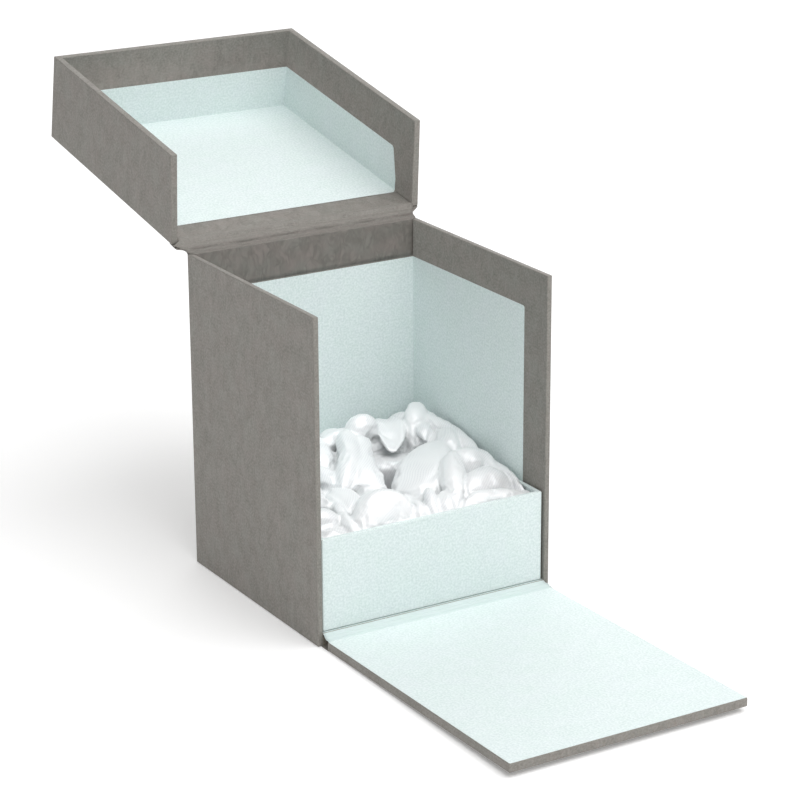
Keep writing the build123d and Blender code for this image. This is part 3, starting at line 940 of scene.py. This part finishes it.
def gathered(data):
    """Draws the finest folds into a mesh in millimetres: gathers at the ends of each puff, a long fold down
    it and a crease where two puffs meet."""
    count = len(data.vertices)
    spots, normals = np.empty(count * 3, np.float32), np.empty(count * 3, np.float32)
    data.vertices.foreach_get("co", spots)
    data.vertex_normals.foreach_get("vector", normals)
    spots, normals = spots.reshape(-1, 3).astype(float), normals.reshape(-1, 3).astype(float)
    first, second = np.full(count, 99.0), np.full(count, 99.0)
    lift = np.zeros(count)
    for number, puff in enumerate(PUFFS.values()):
        path, thick = np.array([tuple(p) for p in puff.path]), np.array(puff.radii)
        along, sideways, over = (np.array([tuple(frame[k]) for frame in puff.frames]) for k in range(3))
        ray = spots[:, None, :] - path[None]
        rise = (ray * over[None]).sum(2)
        away = np.sqrt(np.maximum(0, (ray * ray).sum(2) - rise ** 2 + (rise / puff.thin) ** 2)) - thick[None]
        nearest = away.argmin(1)
        rows = np.arange(count)
        gap, ray, rise = away[rows, nearest], ray[rows, nearest], rise[rows, nearest] / puff.thin
        angle = np.arctan2(rise, (ray * sideways[nearest]).sum(1))
        share = (nearest + (ray * along[nearest]).sum(1) / 3) / (len(path) - 1)
        ends = np.clip((np.abs(2 * share - 1) - 0.25) / 0.75, 0, 1)
        ends = ends * ends * (3 - 2 * ends)
        pleats = 9 + (number * 4) % 5
        size = puff.gather * np.clip(thick[nearest] / 6, 0.4, 1.3)
        gathers = np.abs(np.sin(pleats * angle / 2 + number + 0.8 * np.sin(5 * share))) ** 0.8
        fold = np.clip(np.sin(1.5 * angle + 1.7 * number + 2.2 * share), 0, 1) ** 3
        own = -size * (GATHER_DEPTH * gathers * (0.1 + 0.9 * ends) + FOLD_DEPTH * fold)
        closer = gap < first
        second = np.where(closer, first, np.minimum(second, gap))
        first = np.where(closer, gap, first)
        lift = np.where(closer, own, lift)
    fade = 1 - np.exp(-(((second - first) / 1.6) ** 2))
    crease = -CREASE_DEPTH * np.exp(-(((second - first) / 1.1) ** 2))
    top = np.clip((spots[:, 2] - TUCKED) / 2.0, 0, 1)
    spots += normals * ((lift * fade + crease) * top)[:, None]
    rim = np.clip((spots[:, 2] - RIM) / 1.5, 0, 1)
    for axis, (low, high) in enumerate((INSIDE_X, INSIDE_Y)):
        spots[:, axis] = np.clip(spots[:, axis], low - OVER_RIM * rim, high + OVER_RIM * rim)
    data.vertices.foreach_set("co", spots.astype(np.float32).ravel())
    data.update()


def shelter(data, reach=22.0, rays=20):
    """How much of the sky over each vertex the mesh itself hides, from 0 to 1. The satin's colour is greyed
    by it, as painted shade.
    """
    spots = [vert.co for vert in data.vertices]
    tree = BVHTree.FromPolygons(spots, [face.vertices for face in data.polygons])
    fan = []
    for number in range(rays):
        height = 1 - (number + 0.5) / rays
        turn = number * pi * (3 - 5 ** 0.5)
        flat = (1 - height * height) ** 0.5
        fan.append(Vector((flat * cos(turn), flat * sin(turn), height)))
    found = []
    for vert in data.vertices:
        turn = vert.normal.to_track_quat("Z", "Y")
        start = vert.co + vert.normal * 0.2
        hidden = 0.0
        for ray in fan:
            hit = tree.ray_cast(start, turn @ ray, reach)
            if hit[0] is not None:
                hidden += 1 - hit[3] / reach
        found.append(hidden / rays)
    return found


mesh = remeshed(union_of_puffs(), VOXEL, "satin_rough")
satin = placed("satin_padding", mesh)
seams = []
for vert, depth in zip(mesh.vertices, hollows(mesh)):
    low = min(1.0, max(0.0, (TUCKED - vert.co.z) / 2.0))
    seams.append(max(low, min(1.0, max(0.0, (depth - 0.10) / 0.08))))
mesh.transform(Matrix.Scale(SCALE * MM, 4))
simulate(satin, seams, cap=SWELL * SCALE * MM)
satin.data.transform(Matrix.Scale(1 / (SCALE * MM), 4))
finer = satin.modifiers.new("Finer", "SUBSURF")
finer.levels = finer.render_levels = 1
satin.data = evaluated(satin)
satin.modifiers.clear()
gathered(satin.data)
# Painted shade: each vertex's shelter greys the satin's colour in its hollows.
dark = satin.data.attributes.new("painted_shade", "FLOAT", "POINT")
dark.data.foreach_set("value", shelter(satin.data))
mesh = satin.data
mesh.transform(Matrix.Scale(MM, 4))
mesh.materials.clear()
mesh.materials.append(MATERIALS["satin"])
for face in mesh.polygons:
    face.use_smooth = True
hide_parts("satin_lining", "foam_block")
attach(satin, "tray")

# ----------------------------------------------------------------------------------------------------
# CAD nodes that stay: the boards
# ----------------------------------------------------------------------------------------------------
for node in frame["nodes"].values():
    if node.hide_render:
        continue
    node.data.materials.clear()
    node.data.materials.append(MATERIALS["greyboard"])

# ----------------------------------------------------------------------------------------------------
# Floor, light and camera
# ----------------------------------------------------------------------------------------------------
FLOOR_GLOW, SKY = 0.17, 0.37
ground = bmesh.new()
bmesh.ops.create_grid(ground, x_segments=8, y_segments=8, size=8.0)
mesh = bpy.data.meshes.new("floor_plane")
ground.to_mesh(mesh)
ground.free()
stage_floor = placed("floor_plane", mesh)
stage_floor.location = (0, 0, -0.05 * MM)
n = Nodes("studio_floor")
n.shade(
    Base_Color=(0.93, 0.93, 0.93, 1), Roughness=1.0, Specular_IOR_Level=0.0, Emission_Color=(1, 1, 1, 1),
    Emission_Strength=FLOOR_GLOW,
)
mesh.materials.append(n.material)

world = bpy.data.worlds.new("studio")
world.use_nodes = True
sky = world.node_tree.nodes["Background"]
sky.inputs["Color"].default_value = (1, 1, 1, 1)
sky.inputs["Strength"].default_value = SKY
scene.world = world


def softbox(name, direction, distance, size, strength):
    """A square area light that looks at the box. Strength 1 lights a facing surface to its own colour."""
    light = bpy.data.lights.new(name, "AREA")
    light.shape, light.size = "SQUARE", size
    light.energy = strength * pi * pi * distance * distance
    lamp = placed(name, light)
    target = Vector((0, 0, 0.06))
    lamp.location = target + Vector(direction).normalized() * distance
    lamp.rotation_euler = (lamp.location - target).to_track_quat("Z", "Y").to_euler()


softbox("key_light", (0.15, -0.35, 0.92), 2.2, 2.6, 1.04)
softbox("fill_light", (-0.4, -0.85, 0.4), 2.4, 1.8, 0.13)
softbox("back_light", (0.45, 0.8, 0.36), 2.4, 2.0, 0.3)

AZIMUTH, ELEVATION, ROLL = radians(-30.923), radians(18.801), radians(-0.290)
CAMERA_PLACE = (-0.495887, -0.85097, 0.406709)
FOCAL, SENSOR = 124.51545, 36  # millimetres
back_axis = Vector((sin(AZIMUTH) * cos(ELEVATION), -cos(AZIMUTH) * cos(ELEVATION), sin(ELEVATION)))
level_right = Vector((cos(AZIMUTH), sin(AZIMUTH), 0))
level_up = back_axis.cross(level_right)
right_axis = level_right * cos(ROLL) + level_up * sin(ROLL)
up_axis = level_up * cos(ROLL) - level_right * sin(ROLL)
lens = bpy.data.cameras.new("camera")
lens.lens, lens.sensor_width = FOCAL, SENSOR
lens.clip_start, lens.clip_end = 0.01, 50
camera = placed("camera", lens)
turn = Matrix((right_axis, up_axis, back_axis)).transposed().to_4x4()
camera.matrix_world = Matrix.Translation(CAMERA_PLACE) @ turn
scene.camera = camera
scene.view_settings.view_transform = "Standard"

bpy.context.view_layer.update()
